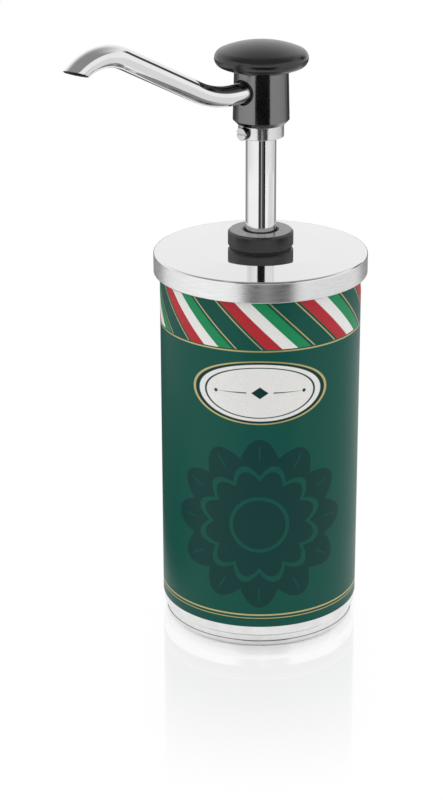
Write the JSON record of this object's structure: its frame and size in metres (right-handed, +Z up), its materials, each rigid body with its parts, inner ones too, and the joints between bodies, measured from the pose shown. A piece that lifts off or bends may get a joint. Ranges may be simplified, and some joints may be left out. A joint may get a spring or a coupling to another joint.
{
  "type": "shaving cream dispenser",
  "caption": "Counter-top cream dispenser: printed round tin, slip-on metal lid and hand pump with palm knob, bent swivelling spout, knurled cap nut and dose ring.",
  "frame": {"origin": "on the can's axis, in the plane that the can stands on", "axes": "+Z up along the can's axis; -Y is the front of the printed wrap; the spout rests 43.5 degrees from -Y towards -X"},
  "size_m": [0.1388, 0.1427, 0.3084],
  "materials": {
    "tin": "satin tinplate",
    "print": "satin printed bottle green with a striped frieze and a plain plate",
    "lid_metal": "polished top, brushed skirt",
    "bright_metal": "polished",
    "steel": "bright drawn",
    "brass": "machined",
    "seal_rubber": "matte",
    "pump_plastic": "moulded, natural white",
    "tube_plastic": "milky, extruded",
    "black_plastic": "satin to gloss black"
  },
  "bodies": {
    "can": {"can_body": "tin", "can_base": "tin", "printed_wrap": "print"},
    "pump": {"lid": "lid_metal", "lid_gasket": "seal_rubber", "nut_gasket": "seal_rubber", "flange_gasket": "seal_rubber", "barrel": "pump_plastic", "foot_valve": "pump_plastic", "ball_cage": "pump_plastic", "suction_tube": "tube_plastic", "return_spring": "steel"},
    "inlet_ball": {"inlet_ball": "steel"},
    "gland": {"guide_bush": "pump_plastic", "wiper_seal": "seal_rubber"},
    "cap_nut": {"cap_nut": "black_plastic"},
    "piston": {"piston": "pump_plastic", "piston_seal": "seal_rubber"},
    "head": {"plunger_tube": "bright_metal", "piston_nut": "brass", "outlet_stop": "pump_plastic", "pump_head": "black_plastic", "spout": "bright_metal", "spout_ring": "seal_rubber", "knob": "black_plastic", "knob_stud": "steel"},
    "outlet_ball": {"outlet_ball": "steel"},
    "dose_ring": {"dose_ring": "bright_metal"},
    "clamp_screw": {"clamp_screw": "steel"}
  },
  "joints": [
    {"name": "lid_lift", "type": "slide", "parent": "can", "child": "pump", "axis": [0, 0, 1], "range_m": [0, 0.19]},
    {"name": "inlet_ball_lift", "type": "slide", "parent": "pump", "child": "inlet_ball", "axis": [0, 0, 1], "range_m": [0, 0.0025]},
    {"name": "gland_rise", "type": "slide", "parent": "pump", "child": "gland", "axis": [0, 0, 1], "range_m": [0, 0.003]},
    {"name": "cap_nut_turn", "type": "hinge", "parent": "gland", "child": "cap_nut", "pos_m": [0, 0, 0.199], "axis": [0, 0, -1], "range_deg": [-720, 0]},
    {"name": "plunger_press", "type": "slide", "parent": "pump", "child": "piston", "axis": [0, 0, -1], "range_m": [0, 0.0455], "stiffness_N_per_m": 400, "springref_m": -0.02, "deforming": ["return_spring"]},
    {"name": "spout_swivel", "type": "hinge", "parent": "piston", "child": "head", "pos_m": [0, 0, 0.2], "axis": [0, 0, 1], "continuous": true},
    {"name": "outlet_ball_lift", "type": "slide", "parent": "head", "child": "outlet_ball", "axis": [0, 0, 1], "range_m": [0, 0.0025]},
    {"name": "dose_ring_slide", "type": "slide", "parent": "head", "child": "dose_ring", "axis": [0, 0, 1], "range_m": [-0.04, 0]},
    {"name": "clamp_screw_turn", "type": "hinge", "parent": "dose_ring", "child": "clamp_screw", "pos_m": [-0.00826, -0.0087, 0.25255], "axis": [-0.6884, -0.7254, 0], "range_deg": [0, 720]}
  ],
  "couplings": [
    {"joint": "gland_rise", "follows": "cap_nut_turn", "m_per_rad": -0.00023873}
  ]
}
